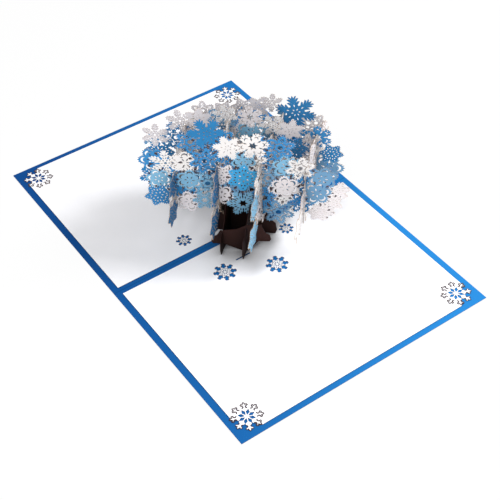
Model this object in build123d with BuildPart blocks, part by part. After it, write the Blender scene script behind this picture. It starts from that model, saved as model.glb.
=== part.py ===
# Pop up card with a snowflake tree, lying open flat.
# A folded cover carries two liners. On the fold stands a tree of upright paper sheets that
# cross each other slantwise and hold by half-depth slots, as in an egg crate.
# Millimetres. X runs along the fold, Y from the near panel to the far panel, Z is up.
# The origin is at the middle of the cover's underside.
import os
from math import cos, radians, sin, sqrt

from build123d import *

os.makedirs("parts", exist_ok=True)

# Card sizes
card_length = 200.0
panel_depth = 150.0
cover_thickness = 0.4
liner_thickness = 0.3
side_border = 5.0
end_border = 4.0
spine_strip = 6.5
score_width = 0.8
score_depth = 0.12

# Cut flakes in the liners: place of the middle and radius
vent_places = [
    ((-33.9, 15.2), 5.3),
    ((-27.9, -27.5), 7.6),
    ((5.4, -42.6), 7.5),
    ((31.6, -17.9), 5.0),
]
flake_cuts = 8
corner_flake_inset = 14.0
corner_flake_end_inset = 14.5
corner_flake_radius = 10.8
corner_diagonal = 45.0
corner_fan_step = 33.75

# Tree lattice: the sheets of both families stand at this angle to the fold, one each way
lattice_turn = 38.0
sheet_thickness = 0.3
slot_clearance = 0.1
slot_margin = 1.0

# Crown sizes: a flattened ball cut into slices. A place is a sheet's distance from the origin.
crown_middle = 6.5
crown_depth_middle = 15.0
crown_spacing = 28.4
crown_half_width = 72.0
crown_half_depth = 56.0
crown_half_height = 42.0
crown_height = 62.0

# Flake sizes as shares of the crown's half width, then shares of a flake's own radius
large_share = 0.165
middle_share = 0.145
small_share = 0.12
flake_gap = 0.62
flake_heart = 0.3
flake_turn = 17.0

# Trunk sizes: widths from the trunk's axis, heights above the card
trunk_along_middle = 4.9
trunk_along_spacing = 16.0
trunk_across_middle = 0.3
trunk_across_spacing = 17.7
trunk_body = 16.0
trunk_top = 46.0
trunk_head = 24.0
waist_height = 24.0
foot_reach = 27.0
foot_height = 16.0
left_toe_reach = 18.7
left_toe_lift = 3.6
right_toe_reach = 24.4
toe_height = 10.0
open_body = 14.4
open_toe_reach = 20.8
open_toe_height = 5.7
open_left_lift = 7.3
open_right_lift = 10.0
open_edge = 19.5
open_corner = 26.0
open_top = [(-3.0, 21.0), (4.0, 25.0)]
open_sole = [(12.0, 9.3), (5.0, 0.0), (0.6, 0.0), (-5.3, 2.8), (-11.0, 5.8)]
head_lock = 36.0
middle_lock = 20.0
root_lock = 12.0

# Slots in the liners that take the glued tabs of two feet
tab_reach = 21.6
tab_slot_length = 12.0
tab_slot_gap = 1.1
tab_slot_offset = 1.3

card_floor = cover_thickness + liner_thickness
turn = radians(lattice_turn)
slot_width = sheet_thickness * (1 + cos(2 * turn)) / sin(2 * turn) + 2 * slot_clearance
tab_width = (tab_slot_gap - 2 * slot_clearance - sheet_thickness * cos(turn)) / sin(turn)

# Places of the sheets across the lattice. The nearest of the four across places holds no slice.
along_places = [crown_middle + crown_spacing * step for step in (-1.5, -0.5, 0.5, 1.5)]
across_places = along_places[1:]
trunk_across_places = [trunk_across_middle + trunk_across_spacing * step for step in (-1, 0, 1)]
trunk_along_places = [trunk_along_middle + trunk_along_spacing * step for step in (-0.5, 0.5)]


def polar(radius, angle):
    """A point at a radius and an angle in degrees."""
    return (radius * cos(radians(angle)), radius * sin(radians(angle)))


def around(arm_points, arms, turn=0.0):
    """Repeat the points of one arm, given as radius and angle, all the way round."""
    points = []
    for arm in range(arms):
        for radius, angle in arm_points:
            points.append(polar(radius, turn + angle + arm * 360 / arms))
    return points


def crossing(own, other):
    """Where, along the sheet at the place own, it meets the other family's sheet at other."""
    return (other + own * cos(2 * turn)) / sin(2 * turn)


def flake_outline(radius, notched):
    """A six-armed snowflake: each arm has a tip, and some have a notch on each side of it."""
    arm = [(radius * flake_gap, -30), (radius * 0.93, -14), (radius, 0), (radius * 0.93, 14)]
    if notched:
        arm.insert(2, (radius * 0.82, -7))
        arm.insert(4, (radius * 0.82, 7))
    return around(arm, 6)


def across_plane(place):
    """The plane of a sheet seen face on from the near left: X runs along the sheet, Y is up."""
    middle = (place * sin(turn), place * cos(turn), 0)
    return Plane(origin=middle, x_dir=(cos(turn), -sin(turn), 0), z_dir=(-sin(turn), -cos(turn), 0))


def along_plane(place):
    """The plane of a sheet that crosses those: X runs along the sheet, Y is up."""
    middle = (place * sin(turn), -place * cos(turn), 0)
    return Plane(origin=middle, x_dir=(cos(turn), sin(turn), 0), z_dir=(sin(turn), -cos(turn), 0))


def save(part, name):
    """Label a finished piece and write it."""
    part.label = name
    export_step(part, f"parts/{name}.step")
    print(name, len(part.solids()), "solids", round(part.volume, 1), "mm3")


# Cover: one folded sheet with a scored line along the fold
with BuildPart() as cover:
    with BuildSketch():
        Rectangle(card_length, 2 * panel_depth)
    extrude(amount=cover_thickness)
    with BuildSketch(Plane.XY.offset(cover_thickness)):
        Rectangle(card_length, score_width)
    extrude(amount=-score_depth, mode=Mode.SUBTRACT)
save(cover.part, "cover")


def vent_arm(radius):
    """One cut of a vent flake: a stem that widens into three lobes, pointing along X."""
    half = [(0.66, 0.08), (0.72, 0.22), (0.88, 0.17), (0.99, 0.07)]
    upper = [(radius * x, radius * y) for x, y in half]
    lower = [(x, -y) for x, y in reversed(upper)]
    return [(radius * 0.42, 0)] + upper + lower


def diamond(radius, inner, outer, half_width):
    """A diamond along X, given in shares of the flake's radius."""
    middle = radius * (inner + outer) / 2
    side = radius * half_width
    return [(radius * inner, 0), (middle, side), (radius * outer, 0), (middle, -side)]


def corner_flake_outline(radius):
    """Eight arms with three-lobed tips, and a short point between each two."""
    side = [(0.52, -14), (0.66, -4), (0.84, -15), (0.90, -4)]
    arm = [(radius * 0.70, -22.5)]
    arm += [(radius * r, angle) for r, angle in side]
    arm += [(radius, 0)]
    arm += [(radius * r, -angle) for r, angle in reversed(side)]
    return around(arm, flake_cuts, 180 / flake_cuts)


def liner(side, slot_place):
    """The liner of the near panel (side -1) or of the far panel (side 1)."""
    outer = panel_depth - end_border
    inner = spine_strip / 2
    half_length = card_length / 2 - side_border
    flake_x = card_length / 2 - corner_flake_inset
    flake_y = panel_depth - corner_flake_end_inset
    with BuildPart() as sheet:
        with BuildSketch(Plane.XY.offset(cover_thickness)):
            with Locations((0, side * (outer + inner) / 2)):
                Rectangle(2 * half_length, outer - inner)
            for end in (-1, 1):
                corner_turn = side * (2 * corner_diagonal - end * corner_diagonal)
                fan = [corner_turn + part * corner_fan_step for part in (-2, -1, 0, 1, 2)]
                with Locations((end * flake_x, side * flake_y)):
                    Polygon(
                        (0, 0),
                        *[polar(2 * corner_flake_radius, angle) for angle in fan],
                        align=None,
                        mode=Mode.SUBTRACT,
                    )
                    Polygon(*corner_flake_outline(corner_flake_radius), align=None)
                    with PolarLocations(0, flake_cuts):
                        Polygon(
                            *diamond(corner_flake_radius, 0.13, 0.46, 0.10),
                            align=None,
                            mode=Mode.SUBTRACT,
                        )
            for place, radius in vent_places:
                if place[1] * side > 0:
                    with Locations(place):
                        with PolarLocations(0, flake_cuts, start_angle=180 / flake_cuts):
                            Polygon(*vent_arm(radius), align=None, mode=Mode.SUBTRACT)
                        with PolarLocations(0, flake_cuts):
                            Polygon(
                                *diamond(radius, 0.14, 0.40, 0.07),
                                align=None,
                                mode=Mode.SUBTRACT,
                            )
            with Locations(slot_place):
                Rectangle(tab_slot_length, tab_slot_gap, mode=Mode.SUBTRACT)
        extrude(amount=liner_thickness)
    return sheet.part


# The trunk's axis, measured along an across sheet and along an along sheet
across_axis = crossing(trunk_across_middle, trunk_along_middle)
along_axis = crossing(trunk_along_middle, trunk_across_middle)
far_tab = along_axis + tab_reach
near_tab = along_axis - tab_reach


def card_spot(place, reach, offset):
    """The place on the card of a spot along an along sheet, moved along the fold by offset."""
    x = place * sin(turn) + reach * cos(turn)
    y = -place * cos(turn) + reach * sin(turn)
    return (x + offset, y)


# The far tab is on the left along sheet, the near tab on the right one
save(liner(-1, card_spot(trunk_along_places[1], near_tab, -tab_slot_offset)), "near_liner")
save(liner(1, card_spot(trunk_along_places[0], far_tab, tab_slot_offset)), "far_liner")


def root_side(axis, side, body, top, reach, height, lift):
    """One side of a trunk sheet, from its top down to the toe of its root."""
    flare = reach - body
    shoulder = min(waist_height, top)
    edge = [
        (body, top),
        (body, shoulder),
        (body + flare * 0.35, lift + height + (shoulder - lift - height) * 0.35),
        (reach - flare * 0.12, lift + height),
        (reach, lift + height * 0.35),
        (reach - flare * 0.15, lift),
    ]
    if top == shoulder:
        edge = edge[1:]
    return [(axis + side * x, z) for x, z in edge]


def reached(root, axis, places):
    """The crown slices that cross the head of the trunk sheet at the place root."""
    return [place for place in places if abs(crossing(root, place) - axis) < trunk_head]


def trunk_sheet(plane, outline, up_slots, down_slots, tab_place=None):
    """A trunk sheet with its slots, open at the top or at the bottom, and its tab."""
    with BuildPart() as sheet:
        with BuildSketch(plane):
            Polygon(*outline, align=None)
            for spot, lock in up_slots:
                with Locations((spot, lock)):
                    Rectangle(slot_width, trunk_top, align=(Align.CENTER, Align.MIN), mode=Mode.SUBTRACT)
            for spot, lock in down_slots:
                with Locations((spot, lock)):
                    Rectangle(slot_width, trunk_top, align=(Align.CENTER, Align.MAX), mode=Mode.SUBTRACT)
            if tab_place is not None:
                with Locations((tab_place, card_floor)):
                    Rectangle(tab_width, liner_thickness, align=(Align.CENTER, Align.MAX))
        extrude(amount=sheet_thickness / 2, both=True)
    return sheet.part


# Trunk sheets across: the outer two stay low and open, the middle one carries the crown.
# The far one is the near one turned round.
near_low = root_side(
    across_axis, -1, open_body, open_edge, open_toe_reach, open_toe_height, open_left_lift
)
far_low = root_side(
    across_axis, 1, open_body, open_corner, open_toe_reach, open_toe_height, open_right_lift
)
low_outline = near_low[::-1] + [(across_axis + x, z) for x, z in open_top] + far_low
low_outline += [(across_axis + x, card_floor + z) for x, z in open_sole]
turned_outline = [(2 * across_axis - x, z) for x, z in low_outline]
left_side = root_side(across_axis, -1, trunk_body, trunk_top, left_toe_reach, toe_height, left_toe_lift)
right_side = root_side(across_axis, 1, trunk_body, trunk_top, right_toe_reach, toe_height, card_floor)
head = [(across_axis + trunk_head, trunk_top), (across_axis + trunk_head, head_lock)]
tall_outline = left_side[::-1] + head + right_side[1:]
across_outlines = [low_outline, tall_outline, turned_outline]
across_locks = [root_lock, middle_lock, root_lock]
for number, place in enumerate(trunk_across_places):
    slots = [(crossing(place, root), across_locks[number]) for root in trunk_along_places]
    if number == 1:
        carried = reached(place, across_axis, along_places)
        slots += [(crossing(place, slice_place), head_lock) for slice_place in carried]
    sheet_part = trunk_sheet(across_plane(place), across_outlines[number], slots, [])
    save(sheet_part, f"trunk_across_{number + 1}")

# Trunk sheets along: each stands on the card from foot to foot, and reaches up into the crown
near_side = root_side(along_axis, -1, trunk_body, trunk_top, foot_reach, foot_height, card_floor)
far_side = root_side(along_axis, 1, trunk_body, trunk_top, foot_reach, foot_height, card_floor)
far_head = [(along_axis + trunk_head, trunk_top), (along_axis + trunk_head, head_lock)]
foot_outline = near_side[::-1] + far_head + far_side[1:]
tabs = [far_tab, near_tab]
for number, place in enumerate(trunk_along_places):
    down_slots = [(crossing(place, root), lock) for root, lock in zip(trunk_across_places, across_locks)]
    carried = reached(place, along_axis, across_places)
    up_slots = [(crossing(place, slice_place), head_lock) for slice_place in carried]
    sheet_part = trunk_sheet(along_plane(place), foot_outline, up_slots, down_slots, tabs[number])
    save(sheet_part, f"trunk_along_{number + 1}")

# Rim flakes of the slices, all the way round: the place as a share of the slice's half width
# and half height, and the radius as a share of the crown's half width
large, middle, small = large_share, middle_share, small_share
across_flakes = [
    [
        (-0.83, -0.54, middle), (-0.53, -0.62, small), (-0.37, -0.59, small), (0.03, -0.68, large),
        (0.41, -0.85, large), (0.60, -0.62, small), (0.86, -0.82, small), (0.82, -0.38, large),
        (1.00, -0.34, small), (0.87, 0.02, middle), (0.61, 0.19, middle), (0.40, 0.62, middle),
        (0.14, 0.66, large), (-0.11, 0.60, middle), (-0.31, 0.92, large), (-0.36, 0.32, middle),
        (-0.75, 0.25, large), (-0.87, 0.24, small), (-0.86, -0.08, middle),
    ],
    [
        (-0.90, 0.08, middle), (-0.84, -0.34, large), (-0.66, -0.66, middle), (-0.40, -0.70, large),
        (-0.036, -0.70, small), (0.36, -0.72, middle), (0.58, -0.66, middle), (0.76, -0.40, large),
        (0.72, -0.04, middle), (0.62, 0.24, middle), (0.40, 0.20, large), (0.16, 0.50, middle),
        (-0.04, 0.64, middle), (-0.34, 0.56, middle), (-0.66, 0.52, middle), (-0.92, 0.26, small),
    ],
    [
        (-0.80, -0.08, middle), (-0.56, -0.56, middle), (-0.28, -0.70, large), (0.03, -0.72, middle),
        (0.48, -0.66, large), (0.68, -0.26, small), (0.61, -0.02, small), (0.38, 0.24, large),
        (0.12, 0.50, small), (-0.06, 0.42, small), (-0.28, 0.36, small), (-0.50, 0.28, small),
        (-0.74, 0.26, small),
    ],
]
along_flakes = [
    [
        (-0.69, -0.86, middle), (-0.56, -0.24, middle), (-0.30, 0.22, middle), (0.10, 0.36, middle),
        (0.50, 0.24, middle), (0.76, -0.08, large), (0.76, -0.62, middle), (0.34, -0.86, middle),
        (-0.20, -0.82, middle),
    ],
    [
        (-0.62, -0.86, large), (-0.54, -0.30, middle), (-0.46, 0.00, small), (-0.26, 0.28, small),
        (-0.06, 0.42, middle), (0.20, 0.36, middle), (0.46, 0.22, middle), (0.70, -0.04, middle),
        (0.80, -0.34, large), (0.66, -0.74, middle), (0.24, -0.84, middle), (-0.20, -0.84, middle),
    ],
    [
        (-0.83, -0.88, large), (-0.74, -0.34, middle), (-0.55, 0.06, large), (-0.33, 0.16, middle),
        (-0.08, 0.18, middle), (0.17, 0.20, middle), (0.42, 0.12, middle), (0.66, -0.24, middle),
        (0.70, -0.62, middle), (0.42, -0.84, middle), (0.06, -0.84, middle), (-0.34, -0.84, middle),
    ],
    [
        (-0.86, -0.96, large), (-0.60, -0.52, middle), (-0.40, -0.06, middle), (-0.16, 0.18, middle),
        (0.20, 0.16, middle), (0.49, -0.04, large), (0.76, -0.46, middle), (0.56, -0.90, middle),
        (0.10, -1.00, middle), (-0.42, -1.00, middle),
    ],
]


def round_share(distance, half):
    """How large a slice at a distance from the crown's middle is beside one through it."""
    return sqrt(1 - (distance / half) ** 2)


def body_edge(rim, spot, side):
    """How far up (side 1) or down (-1) the body through the rim flakes reaches at a spot."""
    heights = []
    for (x1, y1, r1), (x2, y2, r2) in zip(rim, rim[1:] + rim[:1]):
        if min(x1, x2) <= spot < max(x1, x2):
            heights.append(y1 + (y2 - y1) * (spot - x1) / (x2 - x1))
    if not heights:
        heights = [min(rim, key=lambda flake: abs(flake[0] - spot))[1]]
    return side * max(side * y for y in heights)


def margins(rim, spots, side, start):
    """Strips of paper beside slots, from start as far up (side 1) or down (-1) as flakes reach."""
    strips = []
    for spot in spots:
        reach = [y + side * sqrt(r**2 - (x - spot) ** 2) for x, y, r in rim if abs(x - spot) < r]
        end = side * max([side * y for y in reach], default=side * start)
        if side * end > side * start:
            foot = side * min(side * start, side * body_edge(rim, spot, side)) - side * slot_margin
            strips.append((spot, min(foot, end), max(foot, end)))
    return strips


def crown_slice(plane, middle_spot, half_width, half_height, flakes, down_slots, up_slots, root_slots):
    """One crown slice: a body through its rim flakes, hearts cut in some of them, and its slots."""
    rim = []
    for u, v, r in flakes:
        rim.append((middle_spot + u * half_width, crown_height + v * half_height, r * crown_half_width))
    strips = margins(rim, down_slots, -1, crown_height) + margins(rim, up_slots, 1, crown_height)
    strips += margins(rim, root_slots, -1, head_lock)
    with BuildPart() as sheet:
        with BuildSketch(plane):
            Polygon(*[(x, y) for x, y, radius in rim], align=None)
            for index, (x, y, radius) in enumerate(rim):
                with Locations(Location((x, y, 0), (0, 0, flake_turn * index))):
                    Polygon(*flake_outline(radius, index % 3 == 0), align=None)
            for index, (x, y, radius) in enumerate(rim):
                if index % 3 == 1:
                    with Locations(Location((x, y, 0), (0, 0, flake_turn * index))):
                        RegularPolygon(radius * flake_heart, 6, mode=Mode.SUBTRACT)
            for spot, low, high in strips:
                with Locations((spot, (low + high) / 2)):
                    Rectangle(slot_width + 2 * slot_margin, high - low)
            for spot in down_slots:
                with Locations((spot, crown_height + slot_clearance)):
                    Rectangle(slot_width, crown_height, align=(Align.CENTER, Align.MAX), mode=Mode.SUBTRACT)
            for spot in up_slots:
                with Locations((spot, crown_height - slot_clearance)):
                    Rectangle(slot_width, crown_height, align=(Align.CENTER, Align.MIN), mode=Mode.SUBTRACT)
            for spot in root_slots:
                with Locations((spot, head_lock + slot_clearance)):
                    Rectangle(slot_width, head_lock, align=(Align.CENTER, Align.MAX), mode=Mode.SUBTRACT)
        extrude(amount=sheet_thickness / 2, both=True)
    return sheet.part


for number, place in enumerate(across_places):
    share = round_share(place - crown_depth_middle, crown_half_depth)
    slots = [crossing(place, other) for other in along_places]
    holders = [root for root in trunk_along_places if place in reached(root, along_axis, across_places)]
    roots = [crossing(place, root) for root in holders]
    slice_part = crown_slice(
        across_plane(place), crossing(place, crown_middle), crown_half_width * share,
        crown_half_height * share, across_flakes[number], slots, [], roots,
    )
    save(slice_part, f"crown_slice_across_{number + 1}")
for number, place in enumerate(along_places):
    share = round_share(place - crown_middle, crown_half_width)
    slots = [crossing(place, other) for other in across_places]
    root = trunk_across_places[1]
    roots = [crossing(place, root)] if place in reached(root, across_axis, along_places) else []
    slice_part = crown_slice(
        along_plane(place), crossing(place, crown_depth_middle), crown_half_depth * share,
        crown_half_height * share, along_flakes[number], [], slots, roots,
    )
    save(slice_part, f"crown_slice_along_{number + 1}")
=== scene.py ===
# %% [markdown]
# # A snowflake tree on an open card
# This lesson dresses a packed paper model: a folded cover, two liners, a trunk of slotted brown
# sheets and a crown of seven upright slices. Every slice of the real card is one flat sheet,
# printed as a heap of paper snowflakes and cut by a laser, which leaves a tan edge.
# The plan is: fit the camera, print and cut the crown slices, finish the card, then light it.

import random
from math import cos, pi, radians, sin, sqrt

import bpy
from mathutils import Matrix, Vector
from mathutils.geometry import delaunay_2d_cdt


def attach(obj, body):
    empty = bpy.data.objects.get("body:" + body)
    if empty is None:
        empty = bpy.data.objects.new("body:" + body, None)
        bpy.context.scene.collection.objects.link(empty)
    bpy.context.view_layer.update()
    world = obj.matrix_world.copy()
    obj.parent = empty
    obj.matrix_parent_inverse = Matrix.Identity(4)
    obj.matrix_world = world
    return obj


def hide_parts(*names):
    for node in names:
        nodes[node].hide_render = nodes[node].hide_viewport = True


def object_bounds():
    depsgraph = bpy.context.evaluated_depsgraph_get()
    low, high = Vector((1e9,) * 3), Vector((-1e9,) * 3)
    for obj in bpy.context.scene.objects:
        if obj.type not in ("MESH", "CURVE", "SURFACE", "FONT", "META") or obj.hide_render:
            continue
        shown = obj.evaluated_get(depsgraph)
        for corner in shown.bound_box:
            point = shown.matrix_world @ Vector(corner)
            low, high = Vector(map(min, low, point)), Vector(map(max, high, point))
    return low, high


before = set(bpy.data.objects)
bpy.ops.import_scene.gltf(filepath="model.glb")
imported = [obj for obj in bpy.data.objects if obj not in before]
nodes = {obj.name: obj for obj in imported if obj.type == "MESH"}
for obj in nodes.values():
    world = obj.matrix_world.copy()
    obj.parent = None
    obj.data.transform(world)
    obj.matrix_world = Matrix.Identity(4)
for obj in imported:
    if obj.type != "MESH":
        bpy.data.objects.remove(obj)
cad_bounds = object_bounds()
print("nodes:", ", ".join(sorted(nodes)))

# %% [markdown]
# ## Sizes
# The slices stand on two families of parallel planes that cross on a slant. The same few
# sizes that place them in the solid model place them here, in millimetres until a mesh is
# written in metres. A place is the distance of a sheet's plane from the origin.

# %% Sizes of the crown and the trunk
MM = 0.001
TURN = radians(38.0)
SHEET = 0.3
SLOT_CLEARANCE = 0.1
SLOT_WIDTH = SHEET * (1 + cos(2 * TURN)) / sin(2 * TURN) + 2 * SLOT_CLEARANCE
CROWN_MIDDLE = 6.5
CROWN_DEPTH_MIDDLE = 15.0
CROWN_SPACING = 28.4
CROWN_HALF_WIDTH = 72.0
CROWN_HALF_DEPTH = 56.0
CROWN_HALF_HEIGHT = 42.0
CROWN_HEIGHT = 62.0
HEAD_LOCK = 36.0
ALONG_PLACES = [CROWN_MIDDLE + CROWN_SPACING * step for step in (-1.5, -0.5, 0.5, 1.5)]
ACROSS_PLACES = ALONG_PLACES[1:]
TRUNK_MIDDLE, TRUNK_HALF_GAP = 4.9, 8.0
TRUNK_ALONG = [TRUNK_MIDDLE - TRUNK_HALF_GAP, TRUNK_MIDDLE + TRUNK_HALF_GAP]
TRUNK_ACROSS = 0.3
TRUNK_HEAD = 24.0


def crossing(own, other):
    """Where, along the sheet at the place own, it meets the other family's sheet at other."""
    return (other + own * cos(2 * TURN)) / sin(2 * TURN)


def round_share(distance, half):
    """How large a slice at a distance from the crown's middle is beside one through it."""
    return sqrt(1 - (distance / half) ** 2)


print("slot width", round(SLOT_WIDTH, 3), "mm; places", [round(place, 1) for place in ALONG_PLACES])

# %% [markdown]
# ## Camera
# The card's corners in the photograph fix the camera: it looks down at 45 degrees over the
# left corner of the near panel, from about three quarters of a metre, with a longish lens.
# The numbers are angles and lengths, and the matrix is built from them.

# %% Camera at the photograph's angle
CAMERA_TURN = radians(-34.463)
CAMERA_RISE = radians(45.289)
CAMERA_ROLL = radians(-1.274)
CAMERA_TARGET = Vector((-0.00142, -0.01977, 0.0))
CAMERA_DISTANCE = 0.77493
CAMERA_LENS = 79.6
CAMERA_SENSOR = 36


def fit_camera():
    """The camera, turned, raised and rolled round the spot on the card that it looks at."""
    flat = cos(CAMERA_RISE)
    forward = Vector((-sin(CAMERA_TURN) * flat, cos(CAMERA_TURN) * flat, -sin(CAMERA_RISE)))
    level = Vector((cos(CAMERA_TURN), sin(CAMERA_TURN), 0))
    upright = level.cross(forward)
    right = level * cos(CAMERA_ROLL) + upright * sin(CAMERA_ROLL)
    up = upright * cos(CAMERA_ROLL) - level * sin(CAMERA_ROLL)
    data = bpy.data.cameras.new("camera")
    data.lens = CAMERA_LENS
    data.sensor_width = CAMERA_SENSOR
    camera = bpy.data.objects.new("camera", data)
    bpy.context.scene.collection.objects.link(camera)
    axes = Matrix((right, up, -forward)).transposed().to_4x4()
    camera.matrix_world = Matrix.Translation(CAMERA_TARGET - forward * CAMERA_DISTANCE) @ axes
    bpy.context.scene.camera = camera
    return camera


camera = fit_camera()
print("camera at", [round(value, 3) for value in camera.location])

# %% [markdown]
# ## Paper
# Printed card is matt, with a faint tooth. One function makes every paper: a colour that
# drifts a little from place to place, roughness that drifts too, and a fine bump for the
# fibres. Every paper also gets painted shade: its colour is darkened where other paper stands
# close in front of it, which keeps the inside of the crown deep. The laser leaves each cut
# edge toasted, so edges get a paper of their own.

# %% Paper materials
def link(tree, source, source_name, target, target_name):
    """Join an output to an input by their names."""
    tree.links.new(source.outputs[source_name], target.inputs[target_name])


# Painted shade: a spot's colour is darkened when other paper stands nearer than this, in metres
PAINTED_SHADE_REACH = 0.022
CLOUD_SCALE, FIBRE_SCALE, FIBRE_DEPTH = 55, 1600, 0.0001
GLOSS, ROUGHNESS, ROUGH_DRIFT = 0.15, 0.62, 0.08


def paper(name, colour, drift=0.06, grain=0.12):
    """A matt card: its colour, how far the colour drifts, and the strength of its grain, with painted shade
    where other paper stands close.
    """
    material = bpy.data.materials.new(name)
    material.use_nodes = True
    material.diffuse_color = (*colour, 1)
    tree = material.node_tree
    shader = tree.nodes["Principled BSDF"]
    shader.inputs["Specular IOR Level"].default_value = GLOSS
    place = tree.nodes.new("ShaderNodeTexCoord")
    clouds = tree.nodes.new("ShaderNodeTexNoise")
    clouds.inputs["Scale"].default_value = CLOUD_SCALE
    clouds.inputs["Detail"].default_value = 4
    fibres = tree.nodes.new("ShaderNodeTexNoise")
    fibres.inputs["Scale"].default_value = FIBRE_SCALE
    fibres.inputs["Detail"].default_value = 3
    shades = tree.nodes.new("ShaderNodeValToRGB")
    shades.color_ramp.elements[0].position = 0.3
    shades.color_ramp.elements[1].position = 0.7
    shades.color_ramp.elements[0].color = (*[max(c * (1 - drift), 0) for c in colour], 1)
    shades.color_ramp.elements[1].color = (*[min(c * (1 + drift), 1) for c in colour], 1)
    roughness = tree.nodes.new("ShaderNodeMapRange")
    roughness.inputs["To Min"].default_value = ROUGHNESS - ROUGH_DRIFT
    roughness.inputs["To Max"].default_value = ROUGHNESS + ROUGH_DRIFT
    bump = tree.nodes.new("ShaderNodeBump")
    bump.inputs["Strength"].default_value = grain
    bump.inputs["Distance"].default_value = FIBRE_DEPTH
    # Painted shade: ambient occlusion darkens the base colour where other paper stands near
    painted_shade_node = tree.nodes.new("ShaderNodeAmbientOcclusion")
    painted_shade_node.samples = 8
    painted_shade_node.inputs["Distance"].default_value = PAINTED_SHADE_REACH
    link(tree, place, "Object", clouds, "Vector")
    link(tree, place, "Object", fibres, "Vector")
    link(tree, clouds, "Fac", shades, "Fac")
    link(tree, shades, "Color", painted_shade_node, "Color")
    link(tree, painted_shade_node, "Color", shader, "Base Color")
    link(tree, fibres, "Fac", roughness, "Value")
    link(tree, roughness, "Result", shader, "Roughness")
    link(tree, fibres, "Fac", bump, "Height")
    link(tree, bump, "Normal", shader, "Normal")
    return material


def shade(red, green, blue):
    """A printed colour, given as it looks on screen from 0 to 255, as the renderer wants it."""
    values = (red, green, blue)
    return tuple(((v / 255 + 0.055) / 1.055) ** 2.4 if v > 10 else v / 3295 for v in values)


INKS = {
    "navy": paper("ink_navy", shade(44, 126, 182)),
    "ocean": paper("ink_ocean", shade(60, 138, 196)),
    "bright": paper("ink_bright", shade(70, 174, 230)),
    "sky": paper("ink_sky", shade(130, 184, 216)),
    "steel": paper("ink_steel", shade(112, 158, 194)),
    "deep": paper("ink_deep", shade(20, 84, 148)),
    "white": paper("ink_white", shade(240, 236, 234)),
    "silver": paper("ink_silver", shade(237, 230, 231), drift=0.04),
    # Painted shade: a dark ink that stands for shadow in the front slice's gaps
    "shadow": paper("ink_shadow", shade(70, 60, 68)),
}
toasted = paper("toasted_edge", shade(204, 180, 158), drift=0.3)
burnt = paper("burnt_edge", shade(96, 74, 68), drift=0.25)
print(len(INKS), "inks")

# %% [markdown]
# ## Snowflake patterns
# A flake is an outline and a set of cuts, both repeated six times round its middle. One arm
# is drawn as half a profile, by radius and angle, and mirrored. The patterns are common
# paper snowflakes: leafy arms, deep branches, ferns, rings, moons, dots and chevrons.

# %% Flake outlines
def polar(radius, angle):
    """A point at a radius and an angle in degrees."""
    return (radius * cos(radians(angle)), radius * sin(radians(angle)))


def six_arms(half_profile):
    """An outline from half an arm: radius and angle from the valley down to the tip at 0."""
    arm = [(r, -a) for r, a in half_profile] + [(r, a) for r, a in reversed(half_profile[1:-1])]
    return [polar(r, a + 60 * turn) for turn in range(6) for r, a in arm]


LEAF = six_arms([
    (0.50, 30), (0.70, 25), (0.62, 19), (0.84, 18), (0.74, 11), (0.95, 11), (0.88, 4.5), (1, 0),
])
STAR = six_arms([
    (0.60, 30), (0.74, 25), (0.66, 20), (0.84, 17), (0.76, 12), (0.93, 9), (0.87, 5), (1, 0),
])
BRANCH = six_arms([
    (0.40, 30), (0.46, 22), (0.68, 27.5), (0.67, 19), (0.56, 12), (0.86, 19.5), (0.84, 12.5), (0.72, 7),
    (0.97, 12.5), (0.95, 7.5), (0.84, 4.5), (1, 0),
])
FERN = six_arms([
    (0.30, 30), (0.38, 19), (0.60, 26), (0.63, 18), (0.48, 9), (0.76, 19), (0.78, 11), (0.66, 6),
    (0.90, 11), (0.92, 6), (0.84, 3), (1, 0),
])
LOBED = six_arms([
    (0.45, 30), (0.66, 26), (0.70, 20), (0.91, 19), (0.84, 12), (0.98, 9), (0.89, 5), (1, 0),
])
SERRATED = six_arms([
    (0.64, 30), (0.80, 26), (0.72, 22), (0.90, 19), (0.81, 14), (0.98, 11), (0.88, 6), (1, 0),
])


# %% Flake cuts
def ring_of(points, count=6, start=0.0):
    """The same cut, drawn on the arm along X, repeated round the middle."""
    cuts = []
    for turn in range(count):
        angle = radians(start + 360 * turn / count)
        cuts.append([(x * cos(angle) - y * sin(angle), x * sin(angle) + y * cos(angle)) for x, y in points])
    return cuts


def disc(radius, sides):
    """A round cut in the middle."""
    return [(radius * cos(2 * pi * i / sides), radius * sin(2 * pi * i / sides)) for i in range(sides)]


def moon(x, radius, bite):
    """A crescent whose horns point back to the middle."""
    outer = [polar(radius, a) for a in range(-110, 111, 22)]
    inner = [(px * 0.62 - bite * radius, py * 0.82) for px, py in reversed(outer[1:-1])]
    return [(x + px, py) for px, py in outer + inner]


def dot(x, length, width):
    """A diamond cut along the arm."""
    return [(x - length, 0), (x, -width), (x + length, 0), (x, width)]


def chevron(x, reach, weight):
    """A V that points outwards."""
    return [
        (x + reach, 0), (x - reach * 0.5, reach), (x - reach * 0.5 - weight, reach * 0.8),
        (x + reach - weight * 1.5, 0), (x - reach * 0.5 - weight, -reach * 0.8), (x - reach * 0.5, -reach),
    ]


def drop(x, length, width):
    """A teardrop along the arm, its point towards the middle."""
    return [(x - length, 0), (x + length * 0.3, -width), (x + length * 0.8, -width * 0.7),
            (x + length, 0), (x + length * 0.8, width * 0.7), (x + length * 0.3, width)]


def leaf(x, lean, length, width, away=0.0):
    """A slim leaf on the arm or beside it, leaning by an angle in degrees."""
    c, s = cos(radians(lean)), sin(radians(lean))
    side = [(-length, 0), (-length * 0.2, -width), (length * 0.5, -width * 0.8), (length, 0),
            (length * 0.5, width * 0.8), (-length * 0.2, width)]
    return [(x + px * c - py * s, away + px * s + py * c) for px, py in side]


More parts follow.
